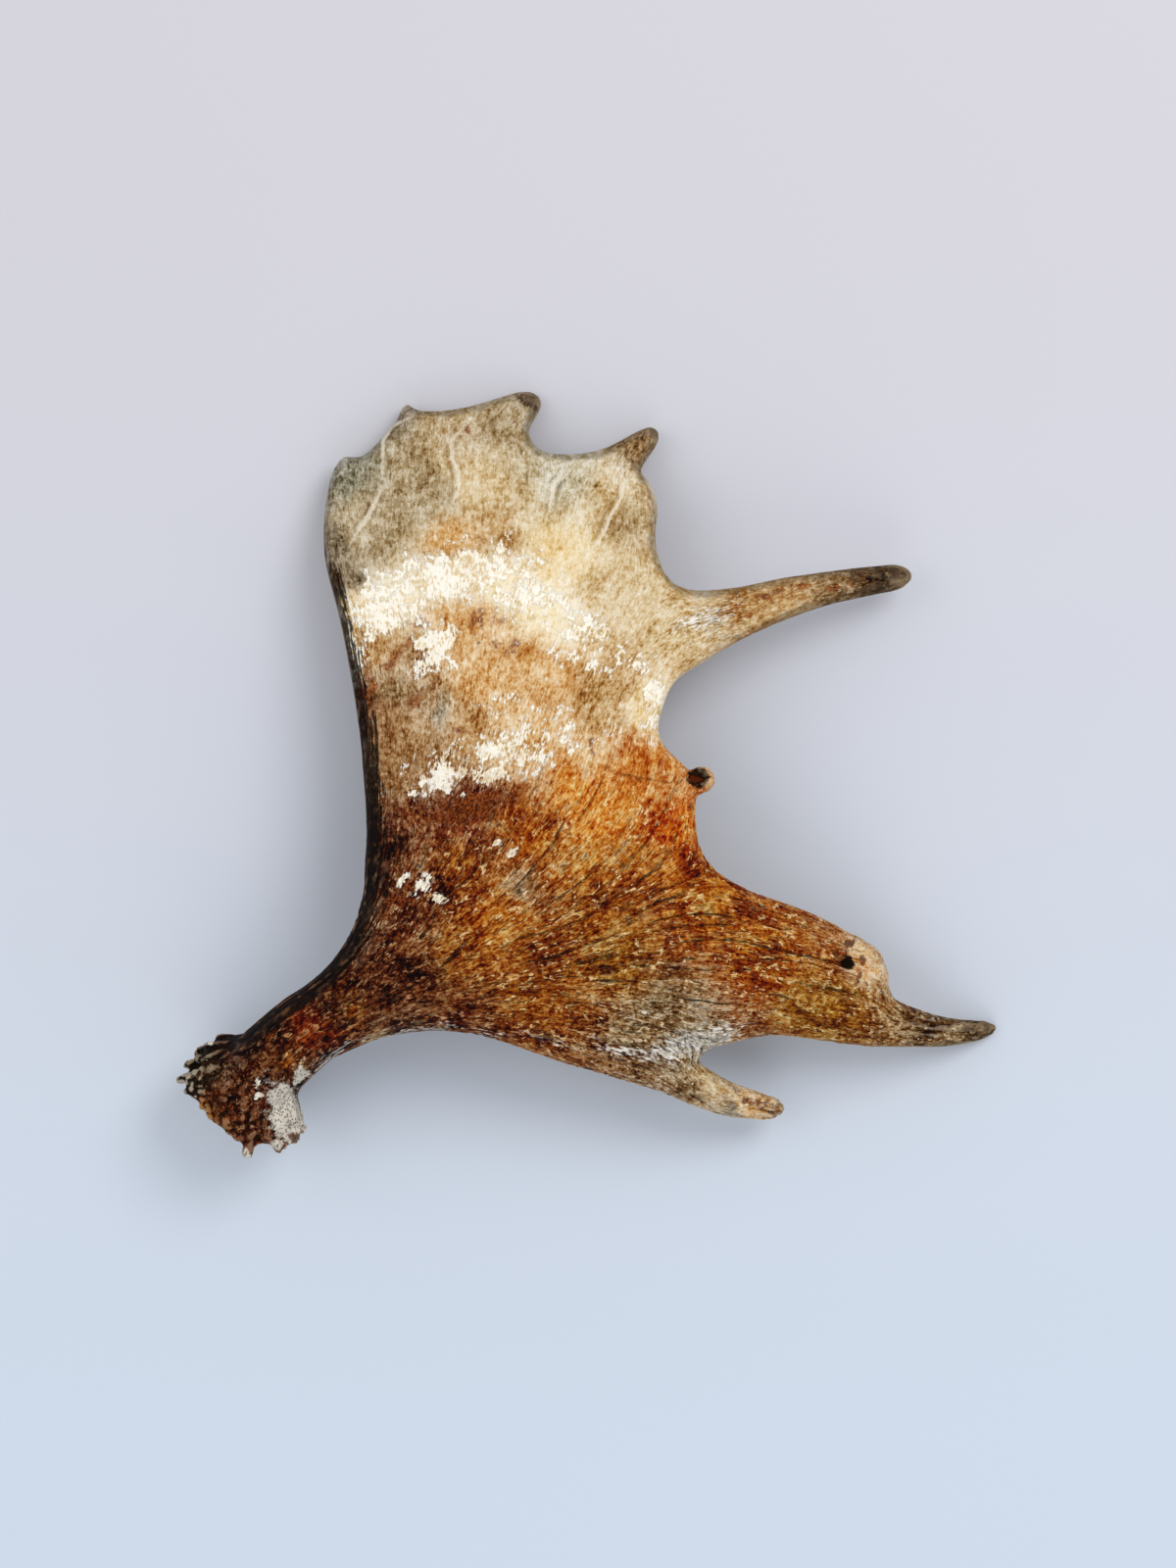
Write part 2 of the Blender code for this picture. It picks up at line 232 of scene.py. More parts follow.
# Round the antler's edge, clockwise from the burr: x, y and the share of the bone's fibres that
# have reached the edge by there. Fibres leave where the share rises: at the tips and along the top.
EDGE_SHARES = [
    (-236, -178, 0.0), (-190, -138, 0.0), (-150, -100, 0.0), (-138, -50, 0.0), (-140, 20, 0.0),
    (-152, 90, 0.0), (-164, 140, 0.0), (-163, 172, 0.015), (-152, 197, 0.05), (-130, 204, 0.08),
    (-111, 232, 0.13), (-90, 226, 0.17), (-50, 234, 0.24), (-30, 236, 0.29), (-35, 212, 0.30),
    (-10, 199, 0.34), (24, 210, 0.41), (44, 214, 0.46), (36, 190, 0.475), (42, 160, 0.485),
    (44, 130, 0.49), (62, 114, 0.495), (130, 122, 0.50), (194, 131, 0.52), (203, 124, 0.56),
    (194, 116, 0.60), (130, 99, 0.62), (70, 69, 0.625), (44, 40, 0.63), (47, 18, 0.64),
    (60, 7, 0.65), (78, -2, 0.67), (64, -14, 0.69), (66, -40, 0.695), (104, -71, 0.70),
    (159, -94, 0.71), (181, -112, 0.74), (187, -133, 0.77), (230, -149, 0.78), (257, -156, 0.82),
    (233, -167, 0.86), (165, -165, 0.87), (110, -158, 0.875), (68, -171, 0.88), (88, -187, 0.885),
    (121, -203, 0.94), (90, -210, 0.985), (45, -193, 1.0), (-46, -163, 1.0), (-98, -154, 1.0),
    (-149, -168, 1.0), (-179, -193, 1.0), (-180, -222, 1.0), (-205, -225, 0.6), (-230, -205, 0.3),
]
ACROSS = 300.0  # millimetres that the share's whole range stands for
NEIGHBOURS = ((0, 1), (0, -1), (1, 1), (1, -1))


def neighbour_sum(grid, mask):
    """Sum over the four neighbours inside the mask, and how many there are."""
    total = np.zeros(grid.shape)
    count = np.zeros(grid.shape)
    for axis, step in NEIGHBOURS:
        total += np.roll(np.where(mask, grid, 0), step, axis)
        count += np.roll(mask, step, axis)
    return total, count


def closed(mask):
    """The mask with holes and notches one cell wide filled in."""
    grown = mask.copy()
    for axis, step in NEIGHBOURS:
        grown |= np.roll(mask, step, axis)
    shrunk = grown.copy()
    for axis, step in NEIGHBOURS:
        shrunk &= np.roll(grown, step, axis)
    return shrunk | mask


class Plan:
    """Grids over the antler as seen from above, and how to read them at any place."""

    def __init__(self, places):
        margin = 6 * CELL
        self.low = places[:, :2].min(0) - margin
        span = places[:, :2].max(0) + margin - self.low
        self.shape = tuple((span / CELL).astype(int) + 1)
        cells = self.cells(places)
        hit = np.zeros(self.shape, bool)
        hit[cells] = True
        self.mask = closed(hit)
        self.edge = self.mask & (neighbour_sum(self.mask, self.mask)[1] < 4)
        self.top = self.extreme(cells, places[:, 2], np.maximum)
        self.bottom = self.extreme(cells, places[:, 2], np.minimum)

    def cells(self, places):
        index = np.floor((places[:, :2] - self.low) / CELL).astype(int)
        return index[:, 0], index[:, 1]

    def centres(self, mask):
        return np.argwhere(mask) * CELL + CELL / 2 + self.low

    def extreme(self, cells, heights, choose):
        """The highest or lowest height in each cell."""
        grid = np.full(self.shape, -FAR if choose is np.maximum else FAR)
        choose.at(grid, cells, heights)
        known = np.abs(grid) < FAR
        return self.spread(np.where(known, grid, 0), known)

    def spread(self, grid, known):
        """Fills unknown cells from their known neighbours, and on outwards for a few cells."""
        grid, known = grid.copy(), known.copy()
        for _ in range(8):
            total, count = neighbour_sum(grid, known)
            new = ~known & (count > 0)
            grid[new] = total[new] / count[new]
            known |= new
        return grid

    def read(self, grid, places):
        """The grid's value at each place, blended between its four nearest cells."""
        at = (places[:, :2] - self.low) / CELL - 0.5
        i, j = np.floor(at).astype(int).T
        u, v = (at - np.floor(at)).T
        value = 0
        for di, share_x in ((0, 1 - u), (1, u)):
            for dj, share_y in ((0, 1 - v), (1, v)):
                value = value + share_x * share_y * grid[i + di, j + dj]
        return value


def relaxed(free, mask, fixed, source, rounds):
    """Solves count * u - neighbours(u) = source on the free cells by conjugate gradients."""
    count = neighbour_sum(fixed, mask)[1]

    def applied(u):
        return np.where(free, count * u - neighbour_sum(u, mask)[0], 0)

    u = np.where(mask, fixed, 0.0)
    residual = np.where(free, source, 0) - applied(u)
    residual = np.where(free, residual, 0)
    direction = residual.copy()
    power = (residual ** 2).sum()
    for _ in range(rounds):
        moved = applied(direction)
        step = power / (direction * moved).sum()
        u += step * direction
        residual -= step * moved
        new_power = (residual ** 2).sum()
        if new_power < 1e-12:
            break
        direction = residual + direction * new_power / power
        power = new_power
    return u


def edge_share(places):
    """The fibre share at places on the edge, from the nearest stretch of EDGE_SHARES."""
    best = np.full(len(places), FAR)
    share = np.zeros(len(places))
    for start, end in zip(EDGE_SHARES, EDGE_SHARES[1:] + EDGE_SHARES[:1]):
        distance, along = segment_distance(places, start, end)
        nearer = distance < best
        best[nearer] = distance[nearer]
        share[nearer] = (start[2] + (end[2] - start[2]) * along)[nearer]
    return share


def grain(plan):
    """Grids of the distance along the fibres, the place across them, and how tightly they lie."""
    mask = plan.mask
    fixed = np.zeros(plan.shape)
    fixed[plan.edge] = edge_share(plan.centres(plan.edge))
    nothing = np.zeros(plan.shape)
    across = relaxed(mask & ~plan.edge, mask, fixed, nothing, SOLVER_ROUNDS) * ACROSS
    spread = plan.spread(across, mask)
    gx = (np.roll(spread, -1, 0) - np.roll(spread, 1, 0)) / (2 * CELL)
    gy = (np.roll(spread, -1, 1) - np.roll(spread, 1, 1)) / (2 * CELL)
    tight = np.hypot(gx, gy) + 1e-6
    tx, ty = -gy / tight, gx / tight
    inner_x = mask & np.roll(mask, -1, 0)
    inner_y = mask & np.roll(mask, -1, 1)
    flow_x = np.where(inner_x, 0.5 * (tx + np.roll(tx, -1, 0)), 0) * CELL
    flow_y = np.where(inner_y, 0.5 * (ty + np.roll(ty, -1, 1)), 0) * CELL
    source = np.roll(flow_x, 1, 0) - flow_x + np.roll(flow_y, 1, 1) - flow_y
    along = relaxed(mask, mask, nothing, source, SOLVER_ROUNDS)
    tight = plan.spread(np.where(mask, tight, 0), mask)
    return plan.spread(along, mask), spread, tight


def rim_distance(plan):
    """Grid of the distance from the antler's edge, in the plan."""
    cells = np.argwhere(plan.mask)
    rims = np.argwhere(plan.edge)
    grid = np.zeros(plan.shape)
    batch = 2000
    for start in range(0, len(cells), batch):
        part = cells[start:start + batch]
        gaps = ((part[:, None] - rims[None]) ** 2).sum(2).min(1)
        grid[part[:, 0], part[:, 1]] = np.sqrt(gaps) * CELL
    return grid


def surface_fields(places, direction, plan, grids):
    """What the relief and the material need at each place."""
    along, across, tight, rim = grids
    top, bottom = plan.read(plan.top, places), plan.read(plan.bottom, places)
    fields = {
        "along": plan.read(along, places), "tight": plan.read(tight, places),
        "depth": places[:, 2] - (top + bottom) / 2,
    }
    wave = 0.9 * noise(places, size=22, seed=61, octaves=2) + 0.35 * noise(places, size=7, seed=63)
    fields["across"] = plan.read(across, places) + wave * fields["tight"]
    fields["upper"] = smoothstep(-0.25, 0.25, direction[:, 2])
    fields["rim"] = plan.read(rim, places)
    # pearls in a band behind the plane of the scar
    behind = (BURR - places) @ BURR_FACING
    fields["burr"] = smoothstep(-13, -6, behind) * (1 - smoothstep(2, 13, behind))
    fields["burr"] *= np.linalg.norm(places - BURR, axis=1) < PEARLS_REACH
    # coarse grain below a line from the rear edge to the middle bay, fine grain above it
    fields["coarse"] = 1 - smoothstep(-70, 60, places[:, 1] - 0.15 * places[:, 0])
    return fields


# ---------------------------------------------------------------- relief

VEINS = [
    [(-75, 215), (-85, 203), (-84, 192), (-80, 182), (-80, 172), (-85, 161), (-91, 147)],
    [(-16, 183), (-22, 175), (-24, 161)],
    [(22, 180), (20, 168), (13, 156), (9, 145), (-4, 128)],
    [(-125, 178), (-134, 160), (-148, 136)],
    [(-108, 220), (-122, 213), (-127, 205), (-127, 180)],
]
# Rounded knobs: x, y, radius and height. Hollows: x, y, radius and depth.
KNOBS = [
    (171, -121, 12, 4.0), (66.5, -3.5, 8, 1.0), (-211, -233, 4, 1.8), (-192, -229, 4, 1.5),
    (-180, -221, 5, 1.8),
]
HOLLOWS = [(66.5, -3.5, 5.0, 6.0), (157.5, -117, 3.2, 4.0)]
# Fine steps in the surface of the palm.
STEPS = [
    [(2, 27), (1, 16), (3, 7)],
    [(3, 7), (14, 0), (34, -5), (58, -7)],
]
# Notches between the burr's fingers.
NOTCHES = [
    [(-203, -234), (-201, -221)],
    [(-186, -233), (-187, -219)],
]


def spread_octaves(tight):
    """Splits the fibres' tightness in whole octaves and the share of the next one."""
    level = np.log2(np.maximum(tight, 1e-3))
    whole = np.floor(level)
    return whole, level - whole


def grain_noise(fields, width, length, seed, octaves=1):
    """Noise drawn out along the fibres, its streaks about that wide wherever they run."""
    total = 0
    whole, part = spread_octaves(fields["tight"])
    for step, share in ((0, 1 - part), (1, part)):
        scale = 2.0 ** -(whole + step)
        at = np.column_stack([
            fields["along"] / length + OCTAVE_SHIFT * (whole + step),
            fields["across"] * scale / width,
            fields["depth"] / width,
        ])
        total = total + share * noise(at, 1.0, seed, octaves)
    return total


def grain_relief(places, fields):
    """Swells, channels and ridges along the fibres, deeper where the grain is coarse."""
    low = fields["coarse"]
    height = 0.45 * noise(places, size=38, seed=3, octaves=2)
    channel = grain_noise(fields, width=9.0, length=70, seed=11, octaves=2)
    height -= (0.15 + 0.5 * low) * np.exp(-(channel / 0.13) ** 2)
    height += (0.10 + 0.22 * low) * grain_noise(fields, width=3.6, length=24, seed=12, octaves=2)
    height += (0.05 + 0.07 * low) * noise(places, size=3.0, seed=13, octaves=2)
    return height


def burr_relief(places):
    """Uneven pearls with pits between them."""
    uneven = warped(warped(places, size=9, reach=3.0, seed=95), size=3.5, reach=1.2, seed=97)
    pearl = pearls(uneven, size=5.2, seed=91) * (0.9 + 0.6 * noise(places, size=8, seed=99))
    return 1.5 * pearl - 0.5


def relief(places, fields):
    """How far the surface stands out from the smooth skin, in millimetres."""
    height = grain_relief(places, fields)
    upper = fields["upper"]
    height += 0.95 * upper * strokes(places, VEINS, width=2.0)
    height -= 0.35 * upper * strokes(places, VEINS, width=4.5)
    height += upper * bumps(places, KNOBS)
    height -= upper * bumps(places, HOLLOWS)
    height -= 0.18 * upper * strokes(places, STEPS, width=1.6)
    height -= 2.4 * strokes(places, NOTCHES, width=2.2)
    rough = fields["burr"] > 0.01
    height[rough] += fields["burr"][rough] * burr_relief(places[rough])
    return height


# ---------------------------------------------------------------- stains and painted shade

def colour(code):
    """Linear red, green and blue of a six-digit screen colour."""
    parts = [int(code[i:i + 2], 16) / 255 for i in (0, 2, 4)]
    return np.array([p / 12.92 if p <= 0.04045 else ((p + 0.055) / 1.055) ** 2.4 for p in parts])


PALETTE = {
    "silver": colour("98927D"), "ash": colour("8A7A62"), "pale_grey": colour("C8BDA3"),
    "bone": colour("B09C7A"), "flax": colour("B49B74"), "sand": colour("D2BB92"),
    "ivory": colour("E8D3A8"), "cream": colour("F3E7CB"), "buff": colour("DEBE8F"),
    "wheat": colour("D5AD78"), "tan": colour("C19C6C"), "honey": colour("B8925D"),
    "straw": colour("CB9D60"), "hazel": colour("9C7448"), "drab": colour("86663E"),
    "gold": colour("D08E3A"), "orange": colour("C37E34"), "amber": colour("BE620E"),
    "copper": colour("AE671B"), "rust": colour("9E5208"), "sienna": colour("914E0E"),
    "olive_brown": colour("996319"), "brown": colour("6C320F"), "plum": colour("7E4A2C"),
    "red_brown": colour("6E2103"), "dark_brown": colour("4A1903"), "umber": colour("573A1C"),
}
# Where each tone lies on the upper side: x, y and how far it reaches.
TONES = [
    # the upper palm and its points
    ("silver", -149, 178, 20), ("ash", -156, 140, 14), ("bone", -138, 154, 22), ("ash", -112, 216, 12),
    ("flax", -84, 212, 14), ("bone", -52, 214, 16), ("umber", -33, 232, 6), ("ash", -140, 118, 8),
    ("drab", 30, 202, 12), ("umber", 42, 212, 7), ("bone", -104, 168, 24), ("sand", -66, 176, 24),
    ("pale_grey", -20, 184, 22), ("sand", 10, 172, 18), ("flax", 26, 155, 16), ("umber", -158, 116, 9),
    # below them, and out along the long tine
    ("honey", -56, 147, 15), ("straw", -84, 140, 14), ("ivory", -18, 134, 22), ("sand", 20, 116, 24),
    ("cream", -28, 98, 24), ("cream", -52, 112, 20), ("sand", 54, 88, 16), ("honey", 92, 100, 14),
    ("honey", 122, 106, 16), ("drab", 150, 114, 16), ("umber", 184, 121, 20),
    # the first pale band, and down to the second
    ("cream", -110, 104, 20), ("ivory", -138, 96, 12), ("tan", -126, 76, 14), ("wheat", -74, 88, 16),
    ("plum", -132, 42, 14), ("plum", -134, 20, 9), ("drab", -114, 46, 10), ("hazel", -108, 24, 16),
    ("ash", -92, 34, 8), ("hazel", -98, 58, 10), ("wheat", -62, 52, 22), ("straw", -36, 66, 14),
    ("wheat", -20, 58, 16), ("honey", 10, 48, 16), ("ivory", 38, 40, 12),
    # round the stub and the second pale band
    ("orange", 36, 4, 15), ("buff", -40, 14, 20), ("tan", -72, 22, 16), ("amber", 56, -38, 12),
    ("gold", 10, -26, 20), ("gold", -8, -8, 16), ("buff", 2, 8, 12),
    # the lower palm
    ("red_brown", -70, -24, 17), ("copper", -42, -26, 14), ("hazel", -120, 4, 12),
    ("brown", -104, -24, 12), ("dark_brown", -124, -40, 12), ("brown", -104, -72, 16),
    ("sienna", -78, -58, 14), ("copper", -26, -42, 16), ("copper", -50, -86, 18), ("hazel", -34, -66, 12),
    ("copper", 4, -56, 16), ("sienna", 8, -86, 20), ("rust", 66, -80, 20), ("copper", 38, -56, 12),
    # the brow palm, its knob, the fork and the lower edge
    ("rust", 106, -114, 22), ("olive_brown", 142, -144, 18), ("drab", 214, -157, 18),
    ("umber", 246, -157, 12), ("rust", 154, -115, 5), ("sienna", -26, -126, 24),
    ("olive_brown", 16, -116, 14), ("drab", 46, -146, 16), ("bone", 66, -170, 12), ("sand", 76, -186, 12),
    ("buff", 98, -195, 13), ("drab", 60, -198, 6), ("ash", 86, -209, 5), ("hazel", 116, -204, 6),
    ("buff", 169, -124, 7), ("buff", 165, -107, 4), ("drab", 30, -160, 13),
    # the beam and the burr
    ("brown", -74, -150, 14), ("sienna", -72, -106, 14), ("dark_brown", -100, -120, 12),
    ("dark_brown", -150, -132, 22), ("dark_brown", -196, -174, 22), ("red_brown", -168, -150, 14),
    ("sienna", -182, -172, 7), ("sienna", -140, -140, 7), ("hazel", -128, -159, 5),
    ("hazel", -172, -178, 5), ("flax", -243, -188, 5), ("drab", -236, -178, 6), ("sienna", -231, -205, 4),
    ("brown", -219, -216, 6),
]
# The same on the hollow side.
UNDER_TONES = [
    ("sand", -100, 170, 50), ("bone", 0, 170, 50), ("tan", -90, 90, 50), ("sand", 0, 80, 50),
    ("honey", -90, 0, 50), ("tan", 0, 0, 50), ("olive_brown", -60, -90, 50), ("straw", 40, -100, 50),
    ("tan", 140, -130, 50), ("drab", 150, 110, 40), ("brown", -120, -120, 40), ("umber", -190, -170, 30),
    ("pale_grey", -205, -205, 14), ("drab", 80, -195, 25),
]
# Soft patches: x, y, half length, half width, direction of the length in degrees, strength.
# Bleached bone that flakes off.
BLEACHED = [
    (-122, 100, 28, 17, 25, 0.84), (-80, 119, 42, 16, 6, 0.92), (-40, 104, 30, 14, -10, 0.66),
    (-6, 86, 30, 11, -18, 0.64), (-12, 66, 22, 7, -20, 0.58), (22, 66, 20, 8, -10, 0.48),
    (40, 42, 15, 8, 80, 0.85), (-94, 74, 15, 11, 65, 0.88), (-146, 76, 22, 5, 100, 0.70),
    (-54, 10, 48, 12, 12, 0.67), (-82, -2, 26, 6, 22, 0.80), (-62, -4, 12, 5, 30, 0.88),
    (-60, 38, 8, 4, 10, 0.6), (-101, -71, 6, 4.0, 60, 0.9), (-90, -76, 4.5, 3.0, 20, 0.85),
    (-112, -66, 4, 2.0, 70, 0.7), (-57, -43, 4, 1.8, 30, 0.8), (-46, -50, 5, 1.6, 35, 0.8),
    (-33, 40, 30, 14, 10, 0.30), (-202, -198, 3, 2.2, 20, 0.9), (-199, -192, 5, 2, 35, 0.6),
]
# Dark and rusty stains.
STAINED = [
    (-104, 91, 20, 7, 25, 0.58), (-66, 92, 26, 9, 10, 0.56), (-114, 76, 15, 8, 60, 0.66),
    (-134, 48, 14, 9, 95, 0.60), (-105, 44, 10, 5, 60, 0.62), (-50, 76, 18, 6, -15, 0.50),
    (-4, 62, 22, 6, -20, 0.42), (-72, 24, 9, 6, 20, 0.50), (-68, -21, 26, 9, 20, 1.0),
    (-84, -16, 13, 6, 25, 0.9), (-52, -36, 18, 8, 35, 0.55), (-88, -48, 14, 8, 40, 0.45),
    (-100, -92, 20, 10, 25, 0.45), (8, -72, 26, 10, 10, 0.35), (66, -86, 30, 10, -8, 0.40),
    (58, -52, 12, 5, -60, 0.45), (158, -106, 5, 2.5, 30, 0.95), (168, -116, 2.5, 3.5, 20, 0.90),
    (165, -128, 4, 2, 60, 0.75), (155, -117, 5, 6, 0, 0.85), (150, -114, 2, 6, 0, 1.0),
    (64, -20, 9, 4, 80, 0.5), (-222, -203, 13, 6, -50, 1.1), (-212, -226, 4, 6, -60, 0.8),
    (-197, -224, 5, 4, 0, 0.9), (-180, -221, 4, 4, 0, 0.75), (-192, -233, 3, 2, 0, 0.7),
    (-199, -201, 5, 4, 0, 0.5), (-110, 218, 12, 5, 20, 0.3), (-80, 208, 8, 6, 40, 0.4),
    (112, 108, 46, 2.4, 16, 0.62), (150, 112, 24, 4, 18, 0.50), (96, 94, 22, 2.5, 28, 0.50),
    (104, -203, 24, 5, -28, 0.60), (58, -196, 24, 3, -14, 0.45),
]
# Pale spongy bone on the burr's flange and knobs.
CHALKY = [
    (-185, -208, 19, 10, -66, 1.1), (-176, -188, 9, 4, 60, 0.85), (-209, -236, 6, 5, 0, 1.1),
    (-192, -228, 5, 4, 0, 0.9), (-232, -166, 4, 2.5, 0, 0.7),
]
# Pale frosted fibres with black lines between them, as bone has where rain has washed it.
FROSTED = [
    (64, -166, 32, 10, 14, 0.95), (84, -184, 20, 6, -28, 0.70), (24, -171, 34, 5, -14, 0.75),
    (-36, -161, 40, 3.5, -8, 0.60), (-112, -158, 34, 3.5, 10, 0.75), (-158, -176, 22, 3.5, 38, 0.75),
    (66, 92, 22, 6, 22, 0.85), (-18, 178, 16, 10, 80, 0.45), (14, 168, 14, 8, 70, 0.40),
    (40, -146, 24, 8, 4, 0.45),
]


def toned(places, tones):
    """Colour blended between tones, each by how near it is for its reach."""
    total = np.zeros((len(places), 3))
    weights = np.full(len(places), 1e-9)
    for name, x, y, reach in tones:
        squared = ((places[:, :2] - (x, y)) ** 2).sum(1) / reach ** 2
        weight = 1 / (0.05 + squared) ** 1.8
        total += weight[:, None] * PALETTE[name]
        weights += weight
    return total / weights[:, None]


def bone_tones(places, upper):
    """The bone's own colour on both sides, with ragged borders between the tones."""
    moved = warped(places, size=34, reach=11, seed=71)
    moved = warped(moved, size=11, reach=5, seed=75)
    moved = warped(moved, size=4, reach=1.8, seed=79)
    share = upper[:, None]
    return share * toned(moved, TONES) + (1 - share) * toned(moved, UNDER_TONES)


def rear_stain_and_shade(places, fields):
    """How black the rear edge of the beam and the palm is, most of all below: partly dark stain, partly
    painted shade where the edge turns down.
    """
    x, y = places[:, 0], places[:, 1]
    reach = 7.0 + 7.5 * smoothstep(110, -60, y)
    black = 1.15 * np.exp(-fields["rim"] / reach)
    return black * smoothstep(165, 110, y) * (fields["across"] < 70) * (x < -60)


def rim_shade(places, fields):
    """How much painted shade darkens the very edge round the upper points and at the brow tip."""
    x, y = places[:, 0], places[:, 1]
    rim = 1 - smoothstep(1.5, 8, fields["rim"])
    return rim * (smoothstep(40, 110, y) + smoothstep(150, 240, x))


def lines_share(places, fields):
    """How strongly fine lines show: most in the coarse grain, and some on the long tine."""
    x, y = places[:, 0], places[:, 1]
    tine = smoothstep(50, 90, x) * smoothstep(60, 80, y)
    return np.clip(0.12 + 0.88 * fields["coarse"] + 0.5 * tine, 0, 1)


def chalkiness(places, near, direction):
    """Where the bone is pale and spongy: the flange's patches and the scar under the burr."""
    scar = smoothstep(0.45, 0.75, direction @ BURR_FACING)
    scar *= np.linalg.norm(places - BURR, axis=1) < SCAR_REACH
    flange = patches(near, CHALKY) * smoothstep(-0.3, 0.2, direction[:, 2])
    return np.maximum(flange, 0.75 * scar)


def paint(mesh, places, direction, fields):
    """Stores the grain, the tones and the marks, painted shade among them, on the bone's mesh."""
    upper = fields["upper"]
    near = warped(warped(places, size=20, reach=4, seed=81), size=6, reach=2.2, seed=85)
    # painted shadow in each hollow, reaching a little wider than it
    hollow_shadow = bumps(places, [(x, y, 1.25 * radius, 1.3) for x, y, radius, _ in HOLLOWS])
    # painted shade along the fine steps in the palm
    step_shade = 0.62 * strokes(places, STEPS, width=2.2)
    bleached = patches(near, BLEACHED) * upper
    # real stains, with the painted shade of the hollows and the steps
    stained = np.maximum(np.maximum(patches(near, STAINED), hollow_shadow), step_shade) * upper
    # pale along the veins: partly their own colour, partly painted highlight on their raised ridges
    vein = strokes(places, VEINS, width=1.9) * upper
    # how far the surface bulges (over 0.5) or hollows (under 0.5); the hollows get painted shade
    bend = np.clip(0.5 + curvature(mesh, places, direction) / 0.25, 0, 1)
    # black along the rear edge, partly painted shade, and painted shadow in the hollows
    rear = np.clip(np.maximum(rear_stain_and_shade(places, fields), 1.2 * hollow_shadow), 0, 1)
    # painted shade along the very edge
    rim = np.clip(rim_shade(places, fields), 0, 1)
    chalky = np.clip(chalkiness(places, near, direction), 0, 1)
    store(mesh, "grain", np.column_stack([fields["along"], fields["across"], fields["depth"]]))
    store(mesh, "tight", fields["tight"])
    store(mesh, "tone", opaque(bone_tones(places, upper)))
    store(mesh, "marks", opaque(bleached, stained, lines_share(places, fields)))
    store(mesh, "frost", patches(near, FROSTED) * upper)
    # the bend stored here also places the painted shade in the hollows
    store(mesh, "wear", opaque(vein, bend, rear))
    store(mesh, "zones", opaque(fields["coarse"], rim, chalky))


def bone_mesh(node):
    """The whole antler as one mesh: skin, relief, then the marks of its surface."""
    obj = fine_skin(node)
    places, direction = vertices(obj.data), normals(obj.data)
    plan = Plan(places)
    grids = (*grain(plan), rim_distance(plan))
    fields = surface_fields(places, direction, plan, grids)
    raised = places + direction * relief(places, fields)[:, None]
    obj.data.vertices.foreach_set("co", (raised * MM).ravel())
    obj.data.update()
    collapse = obj.modifiers.new("collapse", "DECIMATE")
    collapse.ratio = TRIANGLES / (2 * len(obj.data.polygons))
    fine = evaluated(obj)
    obj.modifiers.clear()
    obj.data = fine
    fine.shade_smooth()
    places, direction = vertices(fine), normals(fine)
    fields = surface_fields(places, direction, plan, grids)
    paint(fine, places, direction, fields)
    return obj


# ---------------------------------------------------------------- nodes

class Wire:
    """A number in a node tree. Sums and products of wires add the nodes that work them out."""

    def __init__(self, tree, socket):
        self.tree, self.socket = tree, socket

    def made(self, operation, *values, clamp=False):
        """The result of a Math node."""
        node = self.tree.nodes.new("ShaderNodeMath")
        node.operation = operation
        node.use_clamp = clamp
        for slot, value in zip(node.inputs, values):
            put(self.tree, value, slot)
        return Wire(self.tree, node.outputs[0])

    def __add__(self, other):
        return self.made("ADD", self, other)

    def __sub__(self, other):
        return self.made("SUBTRACT", self, other)

    def __rsub__(self, other):
        return self.made("SUBTRACT", other, self)

    def __mul__(self, other):
        return self.made("MULTIPLY", self, other)

    def __truediv__(self, other):
        return self.made("DIVIDE", self, other)

    def __rpow__(self, other):
        return self.made("POWER", other, self)

    def __abs__(self):
        return self.made("ABSOLUTE", self)

    __radd__ = __add__
    __rmul__ = __mul__

    def clamped(self):
        """Cut off below 0 and above 1."""
        return self.made("ADD", self, 0.0, clamp=True)

    def between(self, low, high):
        """0 below low, 1 above high and a smooth rise from one to the other."""
        node = self.tree.nodes.new("ShaderNodeMapRange")
        node.interpolation_type = "SMOOTHSTEP"
        put(self.tree, self, node.inputs["Value"])
        put(self.tree, low, node.inputs["From Min"])
        put(self.tree, high, node.inputs["From Max"])
        return Wire(self.tree, node.outputs["Result"])

    def on_line(self, middle, reach, fade):
        """1 near a middle value and 0 past its reach, falling over the last part of it."""
        return (reach - abs(self - middle)).between(0.0, fade)


def put(tree, value, slot):
    """Links a wire or a socket to a slot, or sets the slot's own number or colour."""
    if isinstance(value, Wire):
        value = value.socket
    if isinstance(value, bpy.types.NodeSocket):
        tree.links.new(value, slot)
    elif isinstance(value, np.ndarray):
        slot.default_value = (*value, 1)
    else:
        slot.default_value = value


def attribute(tree, name):
    """Node that reads what store() put on the mesh."""
    node = tree.nodes.new("ShaderNodeAttribute")
    node.attribute_name = name
    return node


def split(tree, socket, kind="Color"):
    """A colour's or a vector's three numbers."""
    node = tree.nodes.new("ShaderNodeSeparateColor" if kind == "Color" else "ShaderNodeSeparateXYZ")
    tree.links.new(socket, node.inputs[0])
    return [Wire(tree, out) for out in node.outputs]


def joined(tree, x, y, z):
    """A vector of three numbers."""
    node = tree.nodes.new("ShaderNodeCombineXYZ")
    for slot, value in zip(node.inputs, (x, y, z)):
        put(tree, value, slot)
    return node.outputs[0]


def noise_node(tree, vector, octaves, roughness, scale=1.0):
    """Noise from 0 to 1."""
    node = tree.nodes.new("ShaderNodeTexNoise")
    put(tree, vector, node.inputs["Vector"])
    put(tree, scale, node.inputs["Scale"])
    put(tree, octaves, node.inputs["Detail"])
    put(tree, roughness, node.inputs["Roughness"])
    return Wire(tree, node.outputs[0])


